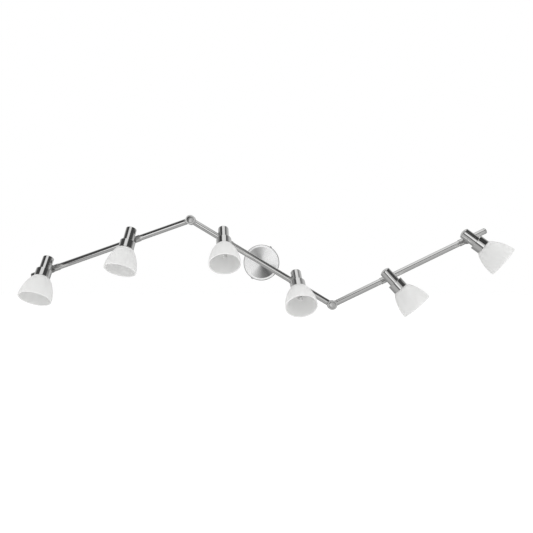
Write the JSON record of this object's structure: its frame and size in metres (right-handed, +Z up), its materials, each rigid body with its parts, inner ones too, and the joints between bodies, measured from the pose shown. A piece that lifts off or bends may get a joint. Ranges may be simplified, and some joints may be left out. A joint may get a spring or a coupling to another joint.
{
  "type": "split-bar spot light",
  "caption": "Hinged split-bar wall or ceiling spot light: a round rose carries jointed tube sections with swivelling, tilting opal glass spots.",
  "frame": {"origin": "centre of the rose's back face, on the wall", "axes": "+X to the right, +Z up, and +Y into the wall; the fixture stands out of the wall towards -Y"},
  "size_m": [1.2862, 0.1931, 0.2734],
  "materials": {
    "bar_steel": "brushed along the tube",
    "barrel_steel": "satin turned",
    "rose_steel": "circular brushed",
    "satin": "satin",
    "zinc": "zinc plated",
    "ring": "satin",
    "terminal": "matte",
    "ceramic": "matte",
    "lamp": "frosted",
    "opal_glass": "frosted opal"
  },
  "bodies": {
    "rose": {"wall_bracket": "zinc", "rose": "rose_steel", "rose_side_screws": "satin", "terminal_block": "terminal", "stem": "satin", "stem_nut": "zinc", "middle_bar": "bar_steel", "middle_knuckles": "satin", "pivot_bolts": "satin", "middle_sleeves": "satin"},
    "left_arm": {"left_arm_bar": "bar_steel", "left_arm_knuckle": "satin", "left_end_cap": "satin", "left_sleeves": "satin"},
    "right_arm": {"right_arm_bar": "bar_steel", "right_arm_knuckle": "satin", "right_end_cap": "satin", "right_sleeves": "satin"},
    "swivel_1": {"swivel_knuckle_1": "satin"},
    "head_1": {"barrel_1": "barrel_steel", "collar_1": "barrel_steel", "lampholder_1": "ceramic", "lamp_1": "lamp", "shade_ring_1": "ring", "shade_1": "opal_glass"},
    "swivel_2": {"swivel_knuckle_2": "satin"},
    "head_2": {"barrel_2": "barrel_steel", "collar_2": "barrel_steel", "lampholder_2": "ceramic", "lamp_2": "lamp", "shade_ring_2": "ring", "shade_2": "opal_glass"},
    "swivel_3": {"swivel_knuckle_3": "satin"},
    "head_3": {"barrel_3": "barrel_steel", "collar_3": "barrel_steel", "lampholder_3": "ceramic", "lamp_3": "lamp", "shade_ring_3": "ring", "shade_3": "opal_glass"},
    "swivel_4": {"swivel_knuckle_4": "satin"},
    "head_4": {"barrel_4": "barrel_steel", "collar_4": "barrel_steel", "lampholder_4": "ceramic", "lamp_4": "lamp", "shade_ring_4": "ring", "shade_4": "opal_glass"},
    "swivel_5": {"swivel_knuckle_5": "satin"},
    "head_5": {"barrel_5": "barrel_steel", "collar_5": "barrel_steel", "lampholder_5": "ceramic", "lamp_5": "lamp", "shade_ring_5": "ring", "shade_5": "opal_glass"},
    "swivel_6": {"swivel_knuckle_6": "satin"},
    "head_6": {"barrel_6": "barrel_steel", "collar_6": "barrel_steel", "lampholder_6": "ceramic", "lamp_6": "lamp", "shade_ring_6": "ring", "shade_6": "opal_glass"}
  },
  "joints": [
    {"name": "left_arm_hinge", "type": "hinge", "parent": "rose", "child": "left_arm", "pos_m": [-0.19286, -0.055, 0.11588], "axis": [0, 1, 0], "range_deg": [-20, 55]},
    {"name": "right_arm_hinge", "type": "hinge", "parent": "rose", "child": "right_arm", "pos_m": [0.19286, -0.055, -0.11588], "axis": [0, 1, 0], "range_deg": [-20, 55]},
    {"name": "swivel_1", "type": "hinge", "parent": "left_arm", "child": "swivel_1", "pos_m": [-0.57298, -0.055, -0.01798], "axis": [0, 1, 0], "range_deg": [-90, 90]},
    {"name": "tilt_1", "type": "hinge", "parent": "swivel_1", "child": "head_1", "pos_m": [-0.57298, -0.0765, -0.01798], "axis": [-0.9969, 0, 0.0785], "range_deg": [-22.5, 20.5]},
    {"name": "swivel_2", "type": "hinge", "parent": "left_arm", "child": "swivel_2", "pos_m": [-0.35038, -0.055, 0.06041], "axis": [0, 1, 0], "range_deg": [-90, 90]},
    {"name": "tilt_2", "type": "hinge", "parent": "swivel_2", "child": "head_2", "pos_m": [-0.35038, -0.0765, 0.06041], "axis": [-0.9903, 0, 0.1392], "range_deg": [-17, 26]},
    {"name": "swivel_3", "type": "hinge", "parent": "rose", "child": "swivel_3", "pos_m": [-0.09729, -0.055, 0.05846], "axis": [0, 1, 0], "range_deg": [-90, 90]},
    {"name": "tilt_3", "type": "hinge", "parent": "swivel_3", "child": "head_3", "pos_m": [-0.09729, -0.0765, 0.05846], "axis": [-0.9925, 0, -0.1219], "range_deg": [-31.5, 11.5]},
    {"name": "swivel_4", "type": "hinge", "parent": "rose", "child": "swivel_4", "pos_m": [0.09729, -0.055, -0.05846], "axis": [0, 1, 0], "range_deg": [-90, 90]},
    {"name": "tilt_4", "type": "hinge", "parent": "swivel_4", "child": "head_4", "pos_m": [0.09729, -0.0765, -0.05846], "axis": [-0.9914, 0, -0.1305], "range_deg": [-39, 4]},
    {"name": "swivel_5", "type": "hinge", "parent": "right_arm", "child": "swivel_5", "pos_m": [0.34309, -0.055, -0.04294], "axis": [0, 1, 0], "range_deg": [-90, 90]},
    {"name": "tilt_5", "type": "hinge", "parent": "swivel_5", "child": "head_5", "pos_m": [0.34309, -0.0765, -0.04294], "axis": [-0.7547, 0, -0.6561], "range_deg": [-0.5, 42.5]},
    {"name": "swivel_6", "type": "hinge", "parent": "right_arm", "child": "swivel_6", "pos_m": [0.55538, -0.055, 0.06015], "axis": [0, 1, 0], "range_deg": [-90, 90]},
    {"name": "tilt_6", "type": "hinge", "parent": "swivel_6", "child": "head_6", "pos_m": [0.55538, -0.0765, 0.06015], "axis": [-0.6428, 0, -0.766], "range_deg": [-5.5, 37.5]}
  ]
}
